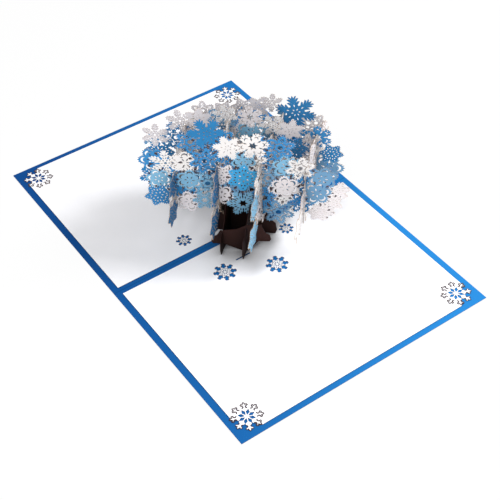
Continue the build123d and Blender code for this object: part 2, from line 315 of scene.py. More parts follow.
def leaves(x, lean, length, width, away):
    """A leaf on each side of every arm."""
    return ring_of(leaf(x, lean, length, width, away)) + ring_of(leaf(x, -lean, length, width, -away))


def star_cut(radius):
    """A six-pointed star cut in the middle."""
    return [polar(radius if i % 2 == 0 else radius * 0.52, 30 * i) for i in range(12)]


def turned(points):
    """The same points, in the order that runs anticlockwise."""
    area = sum(points[i - 1][0] * points[i][1] - points[i][0] * points[i - 1][1] for i in range(len(points)))
    return points if area > 0 else points[::-1]


# %% The patterns by name: an outline and its cuts
PATTERNS = {
    "moons": (SERRATED, ring_of(moon(0.58, 0.21, 0.24)) + ring_of(dot(0.27, 0.13, 0.05), start=30)
              + ring_of(dot(0.76, 0.08, 0.04), start=30)),
    "dots": (STAR, ring_of(dot(0.24, 0.10, 0.05)) + ring_of(dot(0.46, 0.08, 0.055), start=30)
             + ring_of(dot(0.54, 0.09, 0.045), 6, 9) + ring_of(dot(0.54, 0.09, 0.045), 6, -9)
             + ring_of(dot(0.76, 0.07, 0.04))),
    "chevrons": (LEAF, [disc(0.17, 14)] + ring_of(chevron(0.40, 0.13, 0.07))
                 + ring_of(chevron(0.64, 0.14, 0.075)) + ring_of(dot(0.56, 0.25, 0.03))
                 + ring_of(dot(0.34, 0.10, 0.035), start=30) + ring_of(dot(0.52, 0.05, 0.03), start=30)),
    "branches": (BRANCH, ring_of(dot(0.17, 0.07, 0.03), start=30) + ring_of(dot(0.40, 0.09, 0.03))),
    "fern": (FERN, [disc(0.09, 8)] + leaves(0.36, 30, 0.09, 0.03, 0.06) + leaves(0.56, 32, 0.09, 0.03, 0.07)
             + ring_of(drop(0.20, 0.07, 0.045), start=30)),
    "rings": (LOBED, [star_cut(0.31)] + ring_of(moon(0.60, 0.13, 0.24)) + leaves(0.80, 30, 0.07, 0.03, 0.10)
              + ring_of(drop(0.46, 0.11, 0.055), start=30)),
    "star": (LEAF, [star_cut(0.30)] + leaves(0.46, 34, 0.11, 0.035, 0.10)
             + leaves(0.66, 36, 0.10, 0.035, 0.10) + ring_of(drop(0.46, 0.12, 0.05), start=30)),
}
PATTERNS = {
    name: (turned(outline), [turned(cut) for cut in cuts]) for name, (outline, cuts) in PATTERNS.items()
}
PATTERN_NAMES = list(PATTERNS)
print({name: len(cuts) for name, (outline, cuts) in PATTERNS.items()})

# The leafy pattern is only for flakes that are named below, so it isn't among the drawn names
PATTERNS["leafy"] = (LEAF, PATTERNS["branches"][1])

# Small gaps that lie between the arms of every crown flake and beside their tips
GAPS = ring_of(drop(0.82, 0.15, 0.09), start=30) + leaves(1.0, 40, 0.09, 0.035, 0.17)
GAPS = [turned(gap) for gap in GAPS]

# %% [markdown]
# ## One flat sheet from many flakes
# On the real sheet the flakes overlap in print only: the paper is one layer, and the flake
# on top decides what is printed and cut at each spot. Small gaps beside its arms set a flake
# off from the ones under it. They are cut, but on the front slice they are printed dark
# instead: painted shade, as deep as the shadowed inside of the crown seen through such gaps.
# A constrained triangulation of all the outlines and cuts gives small triangles that each
# know which shapes hold them, so each one is kept or dropped, and coloured, by the topmost
# flake. Extruding flakes one by one would stack paper that the real card doesn't have.

# %% Print and cut one sheet
NEARLY_SAME = 1e-5


def cut_sheet(flakes, holes, gaps="none"):
    """Corners and triangles of a flat sheet in millimetres, with the ink of each triangle.

    The gaps beside flakes are left out ("none"), cut ("cut") or printed dark as painted shade ("printed").
    """
    corners, faces, meaning = [], [], []

    def add(points, what):
        faces.append(list(range(len(corners), len(corners) + len(points))))
        corners.extend(Vector(point) for point in points)
        meaning.append(what)

    for number, (x, y, radius, turn, pattern, ink) in enumerate(flakes):
        outline, cuts = PATTERNS[pattern]
        c, s = radius * cos(turn), radius * sin(turn)
        shapes = [("flake", outline)] + [("cut", cut) for cut in cuts]
        if gaps != "none":
            shapes += [("gap", gap) for gap in GAPS]
        for kind, shape in shapes:
            add([(x + px * c - py * s, y + px * s + py * c) for px, py in shape], (kind, number))
    for hole in holes:
        add(turned(hole), ("hole", -1))
    found = delaunay_2d_cdt(corners, [], faces, 0, NEARLY_SAME, True)
    points, triangles, holders = found[0], found[2], found[5]
    kept, inks = [], []
    for triangle, held_by in zip(triangles, holders):
        what = [meaning[index] for index in held_by]
        tops = [number for kind, number in what if kind == "flake"]
        beside = [number for kind, number in what if kind == "gap"]
        if not tops or ("hole", -1) in what or ("cut", max(tops)) in what:
            continue
        # Gap triangles over the topmost flake are cut out, or take the shadow ink as painted shade
        shaded = max(beside, default=-1) > max(tops)
        if shaded and gaps == "cut":
            continue
        kept.append(tuple(triangle))
        inks.append("shadow" if shaded else flakes[max(tops)][-1])
    return points, kept, inks


def one_piece(triangles):
    """Which triangles hang together with the largest group: a loose scrap falls out."""
    by_edge = {}
    for index, triangle in enumerate(triangles):
        for side in range(3):
            edge = tuple(sorted((triangle[side], triangle[side - 1])))
            by_edge.setdefault(edge, []).append(index)
    group = [-1] * len(triangles)
    neighbours = [[] for _ in triangles]
    for pair in by_edge.values():
        if len(pair) == 2:
            neighbours[pair[0]].append(pair[1])
            neighbours[pair[1]].append(pair[0])
    sizes = []
    for start in range(len(triangles)):
        if group[start] >= 0:
            continue
        group[start] = len(sizes)
        queue, count = [start], 0
        while queue:
            index = queue.pop()
            count += 1
            for other in neighbours[index]:
                if group[other] < 0:
                    group[other] = len(sizes)
                    queue.append(other)
        sizes.append(count)
    largest = sizes.index(max(sizes))
    return [value == largest for value in group]


# %% [markdown]
# ## Thickness by Geometry Nodes
# Every cut sheet gets its thickness from the same node tree: extrude all faces together,
# add the turned-over underside, close the seam, and give the new side walls the edge's
# paper. The tree has inputs for the thickness and for that paper, which is toasted on the
# crown, burnt on the liners and plain brown on the trunk.

# %% Node tree that thickens a cut sheet
WELD_DISTANCE = 1e-6


def thickness_tree():
    """A geometry node tree: flat sheet in, closed sheet with edges of another paper out."""
    tree = bpy.data.node_groups.new("cut_sheet_thickness", "GeometryNodeTree")
    tree.interface.new_socket("Geometry", in_out="INPUT", socket_type="NodeSocketGeometry")
    tree.interface.new_socket("Thickness", in_out="INPUT", socket_type="NodeSocketFloat")
    tree.interface.new_socket("Edge paper", in_out="INPUT", socket_type="NodeSocketMaterial")
    tree.interface.new_socket("Geometry", in_out="OUTPUT", socket_type="NodeSocketGeometry")
    make = tree.nodes.new
    start, end = make("NodeGroupInput"), make("NodeGroupOutput")
    extrude = make("GeometryNodeExtrudeMesh")
    extrude.inputs["Individual"].default_value = False
    flip, join = make("GeometryNodeFlipFaces"), make("GeometryNodeJoinGeometry")
    mark = make("GeometryNodeStoreNamedAttribute")
    mark.data_type, mark.domain = "BOOLEAN", "FACE"
    mark.inputs["Name"].default_value = "cut_edge"
    weld = make("GeometryNodeMergeByDistance")
    weld.inputs["Distance"].default_value = WELD_DISTANCE
    realize, paint = make("GeometryNodeRealizeInstances"), make("GeometryNodeSetMaterial")
    read = make("GeometryNodeInputNamedAttribute")
    read.data_type = "BOOLEAN"
    read.inputs["Name"].default_value = "cut_edge"
    link(tree, start, "Geometry", extrude, "Mesh")
    link(tree, start, "Thickness", extrude, "Offset Scale")
    link(tree, extrude, "Mesh", mark, "Geometry")
    tree.links.new(extrude.outputs["Side"], mark.inputs["Value"])
    link(tree, start, "Geometry", flip, "Mesh")
    link(tree, flip, "Mesh", join, "Geometry")
    link(tree, mark, "Geometry", join, "Geometry")
    link(tree, join, "Geometry", weld, "Geometry")
    link(tree, weld, "Geometry", realize, "Geometry")
    link(tree, realize, "Geometry", paint, "Geometry")
    tree.links.new(read.outputs["Attribute"], paint.inputs["Selection"])
    link(tree, start, "Edge paper", paint, "Material")
    link(tree, paint, "Geometry", end, "Geometry")
    return tree


THICKEN = thickness_tree()


def set_input(modifier, name, value):
    """Set a node tree's input by the identifier of the socket with this name."""
    for item in modifier.node_group.interface.items_tree:
        if item.item_type == "SOCKET" and item.in_out == "INPUT" and item.name == name:
            modifier[item.identifier] = value


def bake(holder, name):
    """Turn an object with live nodes into a plain mesh object, and drop the first one."""
    bpy.context.view_layer.update()
    evaluated = holder.evaluated_get(bpy.context.evaluated_depsgraph_get())
    mesh = bpy.data.meshes.new_from_object(evaluated)
    mesh.name = name
    piece = bpy.data.objects.new(name, mesh)
    bpy.context.scene.collection.objects.link(piece)
    bpy.data.objects.remove(holder)
    return piece


def thicken(name, points, faces, inks, place_point, palette, edge):
    """A finished sheet: flat triangles placed in space by place_point, then given thickness."""
    used = sorted({corner for face in faces for corner in face})
    renumber = {corner: index for index, corner in enumerate(used)}
    mesh = bpy.data.meshes.new(name + "_flat")
    mesh.from_pydata([place_point(*points[corner]) for corner in used], [],
                     [[renumber[corner] for corner in face] for face in faces])
    for ink in palette.values():
        mesh.materials.append(ink)
    names = list(palette)
    mesh.polygons.foreach_set("material_index", [names.index(ink) for ink in inks])
    mesh.update()
    holder = bpy.data.objects.new(name + "_holder", mesh)
    bpy.context.scene.collection.objects.link(holder)
    modifier = holder.modifiers.new("thickness", "NODES")
    modifier.node_group = THICKEN
    set_input(modifier, "Thickness", SHEET * MM)
    set_input(modifier, "Edge paper", edge)
    piece = bake(holder, name)
    print(name, len(piece.data.polygons), "faces")
    return piece


# %% [markdown]
# ## Crown slices
# Each slice has fill flakes inside its rim, then rim flakes, which are those of the solid
# model, and on top the flakes that the photograph shows best. Places of rim flakes are
# shares of the slice's half width and half height, and their radii are shares of the
# crown's half width.

# %% Rim flakes of the across slices and of the along slices
LARGE, MIDDLE, SMALL = 0.165, 0.145, 0.12
FLAKE_TURN = radians(17)
ACROSS_FLAKES = [
    [
        (-0.83, -0.54, MIDDLE), (-0.53, -0.62, SMALL), (-0.37, -0.59, SMALL), (0.03, -0.68, LARGE),
        (0.41, -0.85, LARGE), (0.60, -0.62, SMALL), (0.86, -0.82, SMALL), (0.82, -0.38, LARGE),
        (1.00, -0.34, SMALL), (0.87, 0.02, MIDDLE), (0.61, 0.19, MIDDLE), (0.40, 0.62, MIDDLE),
        (0.14, 0.66, LARGE), (-0.11, 0.60, MIDDLE), (-0.31, 0.92, LARGE), (-0.36, 0.32, MIDDLE),
        (-0.75, 0.25, LARGE), (-0.87, 0.24, SMALL), (-0.86, -0.08, MIDDLE),
    ],
    [
        (-0.90, 0.08, MIDDLE), (-0.84, -0.34, LARGE), (-0.66, -0.66, MIDDLE), (-0.40, -0.70, LARGE),
        (-0.036, -0.70, SMALL), (0.36, -0.72, MIDDLE), (0.58, -0.66, MIDDLE), (0.76, -0.40, LARGE),
        (0.72, -0.04, MIDDLE), (0.62, 0.24, MIDDLE), (0.40, 0.20, LARGE), (0.16, 0.50, MIDDLE),
        (-0.04, 0.64, MIDDLE), (-0.34, 0.56, MIDDLE), (-0.66, 0.52, MIDDLE), (-0.92, 0.26, SMALL),
    ],
    [
        (-0.80, -0.08, MIDDLE), (-0.56, -0.56, MIDDLE), (-0.28, -0.70, LARGE), (0.03, -0.72, MIDDLE),
        (0.48, -0.66, LARGE), (0.68, -0.26, SMALL), (0.61, -0.02, SMALL), (0.38, 0.24, LARGE),
        (0.12, 0.50, SMALL), (-0.06, 0.42, SMALL), (-0.28, 0.36, SMALL), (-0.50, 0.28, SMALL),
        (-0.74, 0.26, SMALL),
    ],
]
ALONG_FLAKES = [
    [
        (-0.69, -0.86, MIDDLE), (-0.56, -0.24, MIDDLE), (-0.30, 0.22, MIDDLE), (0.10, 0.36, MIDDLE),
        (0.50, 0.24, MIDDLE), (0.76, -0.08, LARGE), (0.76, -0.62, MIDDLE), (0.34, -0.86, MIDDLE),
        (-0.20, -0.82, MIDDLE),
    ],
    [
        (-0.62, -0.86, LARGE), (-0.54, -0.30, MIDDLE), (-0.46, 0.00, SMALL), (-0.26, 0.28, SMALL),
        (-0.06, 0.42, MIDDLE), (0.20, 0.36, MIDDLE), (0.46, 0.22, MIDDLE), (0.70, -0.04, MIDDLE),
        (0.80, -0.34, LARGE), (0.66, -0.74, MIDDLE), (0.24, -0.84, MIDDLE), (-0.20, -0.84, MIDDLE),
    ],
    [
        (-0.83, -0.88, LARGE), (-0.74, -0.34, MIDDLE), (-0.55, 0.06, LARGE), (-0.33, 0.16, MIDDLE),
        (-0.08, 0.18, MIDDLE), (0.17, 0.20, MIDDLE), (0.42, 0.12, MIDDLE), (0.66, -0.24, MIDDLE),
        (0.70, -0.62, MIDDLE), (0.42, -0.84, MIDDLE), (0.06, -0.84, MIDDLE), (-0.34, -0.84, MIDDLE),
    ],
    [
        (-0.86, -0.96, LARGE), (-0.60, -0.52, MIDDLE), (-0.40, -0.06, MIDDLE), (-0.16, 0.18, MIDDLE),
        (0.20, 0.16, MIDDLE), (0.49, -0.04, LARGE), (0.76, -0.46, MIDDLE), (0.56, -0.90, MIDDLE),
        (0.10, -1.00, MIDDLE), (-0.42, -1.00, MIDDLE),
    ],
]

# %% Flakes that show on the front slice: millimetres along and up, radius, pattern, ink
FRONT_SHOWN = [
    (-52, 74, 11.0, "moons", "ocean"), (-53, 60, 10.5, "star", "navy"), (-31, 72, 10.5, "moons", "white"),
    (-17, 54, 11.0, "chevrons", "sky"), (24, 60, 11.5, "chevrons", "steel"), (21, 42, 10.5, "star", "ocean"),
    (36, 70, 10.5, "moons", "sky"), (46, 38, 10.0, "chevrons", "ocean"), (60, 60, 10.5, "moons", "steel"),
    (66, 38, 9.0, "dots", "silver"), (-8, 44, 9.5, "moons", "silver"), (-5, 62, 10.0, "dots", "silver"),
    (-27, 90, 10.5, "chevrons", "ocean"), (-6, 92, 10.0, "chevrons", "navy"),
    (-15.6, 97.0, 13.2, "branches", "navy"), (-18.3, 73.8, 11.2, "chevrons", "ocean"),
    (-44.3, 71.4, 11.8, "fern", "white"), (-49.7, 57.5, 9.2, "moons", "sky"),
    (-50.8, 42.5, 10.4, "dots", "ocean"), (-29.1, 56.7, 9.8, "moons", "sky"),
    (-30.1, 37.5, 9.8, "moons", "silver"), (-19.8, 38.7, 8.8, "star", "sky"),
    (31.6, 86.1, 10.8, "chevrons", "ocean"), (7.3, 75.7, 9.6, "moons", "sky"),
    (-2.4, 85.3, 10.8, "leafy", "white"), (13.8, 87.4, 11.2, "rings", "white"),
    (7.3, 59.4, 12.3, "dots", "bright"), (30.7, 28.9, 11.6, "chevrons", "steel"),
    (6.5, 36.5, 12.0, "star", "sky"), (44.9, 68.7, 10.4, "chevrons", "white"),
    (35.1, 52.1, 10.4, "moons", "silver"), (58.5, 29.1, 8.5, "dots", "silver"),
    (56.3, 47.2, 10.8, "moons", "steel"),
]

# Flakes that show on the second and third across slices, the same way
SECOND_SHOWN = [
    (63.6, 44.9, 12.4, "moons", "steel"), (10.6, 74.9, 10.8, "moons", "sky"),
    (10.8, 88.7, 9.5, "rings", "silver"),
    (-52, 58, 10.5, "dots", "navy"), (-40, 70, 10.0, "chevrons", "navy"), (-24, 86, 10.0, "leafy", "silver"),
    (-6, 90, 9.5, "fern", "white"), (26, 82, 9.5, "fern", "white"), (38, 78, 9.5, "leafy", "silver"),
    (50, 66, 9.5, "chevrons", "silver"), (66, 58, 9.0, "dots", "navy"), (18, 66, 9.0, "moons", "steel"),
    (-54.3, 71.8, 10.5, "fern", "silver"), (-36.4, 84.3, 10.5, "fern", "silver"),
    (40.0, 62.0, 11.0, "dots", "ocean"),
]
THIRD_SHOWN = [
    (55.4, 61.7, 8.4, "chevrons", "silver"), (52.1, 50.8, 8.5, "moons", "silver"),
    (-23.7, 70.7, 9.4, "chevrons", "silver"), (4.4, 73.9, 9.4, "dots", "silver"),
    (15.5, 75.9, 8.6, "leafy", "silver"), (24.5, 78.7, 8.5, "fern", "silver"),
    (41.2, 70.8, 14.8, "branches", "ocean"),
]
SHOWN = [FRONT_SHOWN, SECOND_SHOWN, THIRD_SHOWN]


# %% Fill a rim with flakes, and cut its slots
def inside(x, y, outline):
    """Whether a point lies inside an outline."""
    result = False
    for (x1, y1), (x2, y2) in zip(outline, outline[1:] + outline[:1]):
        if (y1 > y) != (y2 > y) and x < (x2 - x1) * (y - y1) / (y2 - y1) + x1:
            result = not result
    return result


# The fill: step along a row, step between rows as a share of it, and how far chance moves
# a flake to each side
FILL_STEP, ROW_SHARE, WANDER = 14.5, 0.86, 1.5
FILL_RADIUS = 10.2

# Each shown flake is turned by this much more than the one before, in radians
SHOWN_TURN = 0.3


def rim_centres(rim, middle, half_width, half_height):
    """Places and radii of rim flakes in millimetres, from their shares."""
    return [
        (middle + u * half_width, CROWN_HEIGHT + v * half_height, r * CROWN_HALF_WIDTH) for u, v, r in rim
    ]


def slice_flakes(centres, middle, half_width, half_height, palette, seed, near_inks, shown):
    """All flakes of a slice: the fill, the rim with its first inks given, and the shown ones."""
    dice = random.Random(seed)
    outline = [(x, y) for x, y, radius in centres]
    flakes = []
    rows = int(2 * half_height / (FILL_STEP * ROW_SHARE)) + 2
    columns = int(2 * half_width / FILL_STEP) + 2
    for row in range(-rows // 2, rows // 2 + 1):
        for column in range(-columns // 2, columns // 2 + 1):
            x = middle + (column + 0.5 * (row % 2)) * FILL_STEP + dice.uniform(-WANDER, WANDER)
            y = CROWN_HEIGHT + row * FILL_STEP * ROW_SHARE + dice.uniform(-WANDER, WANDER)
            pattern, ink = dice.choice(PATTERN_NAMES), dice.choice(palette)
            if inside(x, y, outline):
                flakes.append((x, y, FILL_RADIUS, dice.uniform(0, 1), pattern, ink))
    dice.shuffle(flakes)
    for index, (x, y, radius) in enumerate(centres):
        ink = near_inks[index] if index < len(near_inks) else dice.choice(palette)
        flakes.append((x, y, radius, FLAKE_TURN * index, dice.choice(PATTERN_NAMES), ink))
    for index, (x, y, radius, pattern, ink) in enumerate(shown):
        flakes.append((x, y, radius, SHOWN_TURN * index, pattern, ink))
    return flakes


# Heights below and above every sheet, for slots that run out of it
BELOW, ABOVE = -10.0, 150.0


def slot_box(spot, low, high):
    """The corners of a slot."""
    left, right = spot - SLOT_WIDTH / 2, spot + SLOT_WIDTH / 2
    return [(left, low), (right, low), (right, high), (left, high)]


def across_point(place):
    """How a point on an across sheet is placed in space, in metres."""
    shift = place + SHEET / 2
    start = Vector((shift * sin(TURN), shift * cos(TURN), 0))
    along = Vector((cos(TURN), -sin(TURN), 0))
    return lambda x, y: (start + along * x + Vector((0, 0, y))) * MM


def along_point(place):
    """How a point on an along sheet is placed in space, in metres."""
    shift = place - SHEET / 2
    start = Vector((shift * sin(TURN), -shift * cos(TURN), 0))
    along = Vector((cos(TURN), sin(TURN), 0))
    return lambda x, y: (start + along * x + Vector((0, 0, y))) * MM


# A flake is dropped when a later one has its middle nearer than this share of its radius
COVERED_SHARE = 0.35


def is_covered(flake, later):
    """Whether a flake drawn later lies almost on the same spot, and so hides this one."""
    x, y, radius = flake[:3]
    return any(sqrt((x - other[0]) ** 2 + (y - other[1]) ** 2) < COVERED_SHARE * radius for other in later)


def crown_slice(name, flakes, slots, place_point, gaps="cut"):
    """One crown slice, printed, cut, thickened, and standing in for its plain solid."""
    flakes = [flake for index, flake in enumerate(flakes) if not is_covered(flake, flakes[index + 1:])]
    points, triangles, inks = cut_sheet(flakes, slots, gaps)
    keeps = one_piece(triangles)
    triangles = [triangle for triangle, keep in zip(triangles, keeps) if keep]
    inks = [ink for ink, keep in zip(inks, keeps) if keep]
    piece = thicken(name + "_paper", points, triangles, inks, place_point, INKS, toasted)
    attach(piece, "root")
    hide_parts(name)
    return piece


# %% The three across slices
FRONT_INKS = ["ocean", "silver", "silver", "sky", "steel", "silver", "silver", "steel", "silver"]
ACROSS_PALETTES = [
    ["ocean", "navy", "white", "steel"],
    ["silver", "navy", "ocean", "steel", "white"],
    ["silver", "navy", "white", "steel"],
]
ACROSS_SEED, ALONG_SEED = 20, 40

# The trunk's middle, measured along its along sheets and along its across sheets
along_axis = crossing(TRUNK_MIDDLE, TRUNK_ACROSS)
across_axis = crossing(TRUNK_ACROSS, TRUNK_MIDDLE)
crown = []
for number, place in enumerate(ACROSS_PLACES):
    is_front = number == 0
    share = round_share(place - CROWN_DEPTH_MIDDLE, CROWN_HALF_DEPTH)
    middle = crossing(place, CROWN_MIDDLE)
    half_width, half_height = CROWN_HALF_WIDTH * share, CROWN_HALF_HEIGHT * share
    centres = rim_centres(ACROSS_FLAKES[number], middle, half_width, half_height)
    near_inks = FRONT_INKS if is_front else []
    flakes = slice_flakes(centres, middle, half_width, half_height, ACROSS_PALETTES[number],
                          ACROSS_SEED + number, near_inks, SHOWN[number])
    slots = [slot_box(crossing(place, other), BELOW, CROWN_HEIGHT + SLOT_CLEARANCE) for other in ALONG_PLACES]
    for root in TRUNK_ALONG:
        if abs(crossing(root, place) - along_axis) < TRUNK_HEAD:
            slots.append(slot_box(crossing(place, root), BELOW, HEAD_LOCK + SLOT_CLEARANCE))
    # On the front slice the gaps are painted shade: printed dark in place of the shadowed inside
    gaps = "printed" if is_front else "cut"
    crown.append(crown_slice(f"crown_slice_across_{number + 1}", flakes, slots, across_point(place), gaps))

# %% The four along slices
ALONG_PALETTES = [
    ["white", "silver", "white", "ocean"],
    ["ocean", "white", "steel", "silver"],
    ["sky", "white", "silver", "sky"],
    ["white", "silver", "white", "silver"],
]
NEAR_INKS = [
    ["deep", "navy", "white", "silver"],
    ["navy", "ocean", "white", "silver", "white"],
    ["sky", "sky", "white", "silver", "white"],
    ["white", "silver", "white", "silver"],
]

# The rim flakes nearest to the camera are drawn once more, on top, with these looks
NEAR_SHOWN = [
    [("dots", "navy"), ("dots", "ocean")],
    [("dots", "navy"), ("moons", "ocean"), ("dots", "ocean")],
    [("dots", "sky"), ("moons", "sky")],
    [("leafy", "white")],
]
for number, place in enumerate(ALONG_PLACES):
    share = round_share(place - CROWN_MIDDLE, CROWN_HALF_WIDTH)
    middle = crossing(place, CROWN_DEPTH_MIDDLE)
    half_width, half_height = CROWN_HALF_DEPTH * share, CROWN_HALF_HEIGHT * share
    centres = rim_centres(ALONG_FLAKES[number], middle, half_width, half_height)
    shown = [(*centre, *look) for centre, look in zip(centres, NEAR_SHOWN[number])]
    flakes = slice_flakes(centres, middle, half_width, half_height, ALONG_PALETTES[number],
                          ALONG_SEED + number, NEAR_INKS[number], shown)
    low = CROWN_HEIGHT - SLOT_CLEARANCE
    slots = [slot_box(crossing(place, other), low, ABOVE) for other in ACROSS_PLACES]
    if abs(crossing(TRUNK_ACROSS, place) - across_axis) < TRUNK_HEAD:
        slots.append(slot_box(crossing(place, TRUNK_ACROSS), BELOW, HEAD_LOCK + SLOT_CLEARANCE))
    crown.append(crown_slice(f"crown_slice_along_{number + 1}", flakes, slots, along_point(place)))
print("crown faces:", sum(len(piece.data.polygons) for piece in crown))

# %% [markdown]
# ## Liners
# The white liners are cut the same way. Four places show the blue cover through a vent
# snowflake of eight clubs. A larger snowflake sits in each outer corner: its outer arms
# stand free over the blue, and its inner arms are drawn by thin slits. The laser scorched
# the paper beside these cuts, which is printed as thin brown lines.

# %% Cuts of the liners
PANEL_DEPTH, END_BORDER, SIDE_BORDER, SPINE_STRIP = 150.0, 4.0, 5.0, 6.5
HALF_LENGTH = 100.0
COVER_THICKNESS = 0.4
VENTS = [((-33.9, 15.2), 5.3), ((-27.9, -27.5), 7.6), ((5.4, -42.6), 7.5), ((31.6, -17.9), 5.0)]
CORNER_RADIUS = 10.8
CORNER_INSET, CORNER_END_INSET = 14.0, 14.5
CORNER_SPOT = (HALF_LENGTH - CORNER_INSET, PANEL_DEPTH - CORNER_END_INSET)
TAB_REACH, TAB_LENGTH, TAB_GAP, TAB_OFFSET = 21.6, 12.0, 1.1, 1.3
CLUB = [
    (0.32, 0), (0.54, 0.06), (0.60, 0.19), (0.71, 0.23), (0.79, 0.19), (0.81, 0.12), (0.94, 0.18),
    (1.04, 0.09),
]
CLUB += [(x, -y) for x, y in reversed(CLUB[1:])]
TRIDENT = [
    (0.50, 22.5), (0.60, 15), (0.66, 6), (0.72, 6), (0.84, 15), (0.90, 11), (0.84, 5), (0.92, 4), (1, 0),
]
ARM_LEANS = [45 * turn + 22.5 for turn in range(8)]

# Angles of the opening round a corner flake from its outward direction, and the largest
# angle from that direction at which an arm stands free
FAN_STEPS = (-67.5, -33.75, 0, 33.75, 67.5)
FREE_ANGLE = 60

# Width of a slit in millimetres, and of the scorched lines as shares of the flake's radius
SLIT = 0.35
INNER_EDGE, OUTER_EDGE = 0.085, 0.045


def moved(points, place, size, lean=0.0):
    """Points turned by an angle in degrees, sized and moved to a place."""
    c, s = size * cos(radians(lean)), size * sin(radians(lean))
    return [(place[0] + x * c - y * s, place[1] + x * s + y * c) for x, y in points]


def trident_arm():
    """One of the eight arms of a corner flake, from valley to valley."""
    half = [polar(r, a) for r, a in TRIDENT]
    return [(x, -y) for x, y in half] + half[-2::-1]


def thin_slit(points, width):
    """A narrow closed slit along a line of points."""
    sides = ([], [])
    for index, (x, y) in enumerate(points):
        before, after = points[max(index - 1, 0)], points[min(index + 1, len(points) - 1)]
        dx, dy = after[0] - before[0], after[1] - before[1]
        length = sqrt(dx * dx + dy * dy)
        sides[0].append((x - dy / length * width / 2, y + dx / length * width / 2))
        sides[1].append((x + dy / length * width / 2, y - dx / length * width / 2))
    return sides[0] + sides[1][::-1]


def vent_cuts(place, radius):
    """Eight clubs and a small flower of slits."""
    clubs = ring_of(CLUB, 8, 22.5)
    petals = ring_of(leaf(0.21, 0, 0.12, 0.055), 8) + ring_of(leaf(0.44, 0, 0.08, 0.05), 8)
    return [moved(cut, place, radius) for cut in clubs + petals]


CORNER_OUTLINE = [point for lean in ARM_LEANS for point in moved(trident_arm()[:-1], (0, 0), 1, lean)]
CORNER_CUTS = ring_of(dot(0.33, 0.22, 0.115), 8)
PATTERNS["corner"] = (turned(CORNER_OUTLINE), [turned(cut) for cut in CORNER_CUTS])

# The scorch round a club is the club's own outline, a little larger about its middle at 0.7
PATTERNS["club"] = (turned([(0.7 + (x - 0.7) * 1.08, y * 1.16) for x, y in CLUB]), [])
PATTERNS["inner edge"] = (turned(thin_slit(trident_arm()[1:-1], INNER_EDGE)), [])
PATTERNS["outer edge"] = (turned(thin_slit(trident_arm()[1:-1], OUTER_EDGE)), [])


def liner_point(x, y):
    """How a point on a liner is placed in space, in metres: flat on the cover."""
    return Vector((x, y, COVER_THICKNESS)) * MM


def liner_sheet(name, side, slot_place):
    """One liner with its cuts and their scorched edges, standing in for its plain solid."""
    low, high = SPINE_STRIP / 2, PANEL_DEPTH - END_BORDER
    half = HALF_LENGTH - SIDE_BORDER
    panel = [(-half, side * low), (half, side * low), (half, side * high), (-half, side * high)]
    fans, flakes, holes = [], [], []
    for end in (-1, 1):
        spot = (end * CORNER_SPOT[0], side * CORNER_SPOT[1])
        outward = 90 * side - 45 * side * end
        opening = [moved([(2 * CORNER_RADIUS, 0)], spot, 1, outward + step)[0] for step in FAN_STEPS]
        fans.append(turned([spot] + opening))
        flakes.append((*spot, CORNER_RADIUS, 0.0, "corner", "white"))
        for lean in ARM_LEANS:
            is_inner = abs((lean - outward + 180) % 360 - 180) > FREE_ANGLE
            edge = "inner edge" if is_inner else "outer edge"
            flakes.append((*spot, CORNER_RADIUS, radians(lean), edge, "scorch"))
            if is_inner:
                arm = moved(trident_arm()[1:-1], spot, CORNER_RADIUS, lean)
                holes.append(thin_slit(arm, SLIT))
    for place, radius in VENTS:
        if place[1] * side > 0:
            holes += vent_cuts(place, radius)
            flakes += [(*place, radius, radians(lean), "club", "scorch") for lean in ARM_LEANS]
    x, y = slot_place
    long, wide = TAB_LENGTH / 2, TAB_GAP / 2
    holes.append([(x - long, y - wide), (x + long, y - wide), (x + long, y + wide), (x - long, y + wide)])
    PATTERNS[name] = (turned(panel), fans)
    points, triangles, inks = cut_sheet([(0, 0, 1, 0, name, "white")] + flakes, holes)
    piece = thicken(name + "_paper", points, triangles, inks, liner_point, LINER_INKS, burnt)
    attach(piece, "root")
    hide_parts(name)


def card_spot(place, reach, offset):
    """The place on the card of a spot along an along sheet, moved along the fold by offset."""
    return (place * sin(TURN) + reach * cos(TURN) + offset, -place * cos(TURN) + reach * sin(TURN))


# %% Papers of the card and the trunk
def painted_light_slope(material, slope, dark, light):
    """Paint light and shade into a paper: it goes from painted shade to painted light across the card, along
    a slope per metre.
    """
    tree = material.node_tree
    place = next(node for node in tree.nodes if node.bl_idname == "ShaderNodeTexCoord")
    ramp = next(node for node in tree.nodes if node.bl_idname == "ShaderNodeValToRGB")
    along, share = tree.nodes.new("ShaderNodeVectorMath"), tree.nodes.new("ShaderNodeMath")
    along.operation, share.operation = "DOT_PRODUCT", "ADD"
    along.inputs[1].default_value = slope
    share.inputs[1].default_value = 0.5
    link(tree, place, "Object", along, 0)
    link(tree, along, "Value", share, 0)
    link(tree, share, 0, ramp, "Fac")
    for element, at, colour in zip(ramp.color_ramp.elements, (0.05, 0.95), (dark, light)):
        element.position = at
        element.color = (*colour, 1)


blue_card = paper("blue_card_paper", shade(13, 107, 183), drift=0.10)
# The cover's whole colour is painted light and shade: dark at the far left corner, light at the near right
# corner
painted_light_slope(blue_card, (3.7, -1.4, 0), shade(3, 72, 140), shade(32, 130, 205))
white_card = paper("white_card_paper", shade(250, 250, 253), drift=0.01, grain=0.08)
LINER_INKS = {"white": white_card, "scorch": burnt}
brown_card = paper("brown_card_paper", shade(54, 28, 23), drift=0.15)


def finish_node(node, material):
    """Give a carried-over part its paper."""
    mesh = nodes[node].data
    if not mesh.materials:
        mesh.materials.append(material)
    for index in range(len(mesh.materials)):
        mesh.materials[index] = material


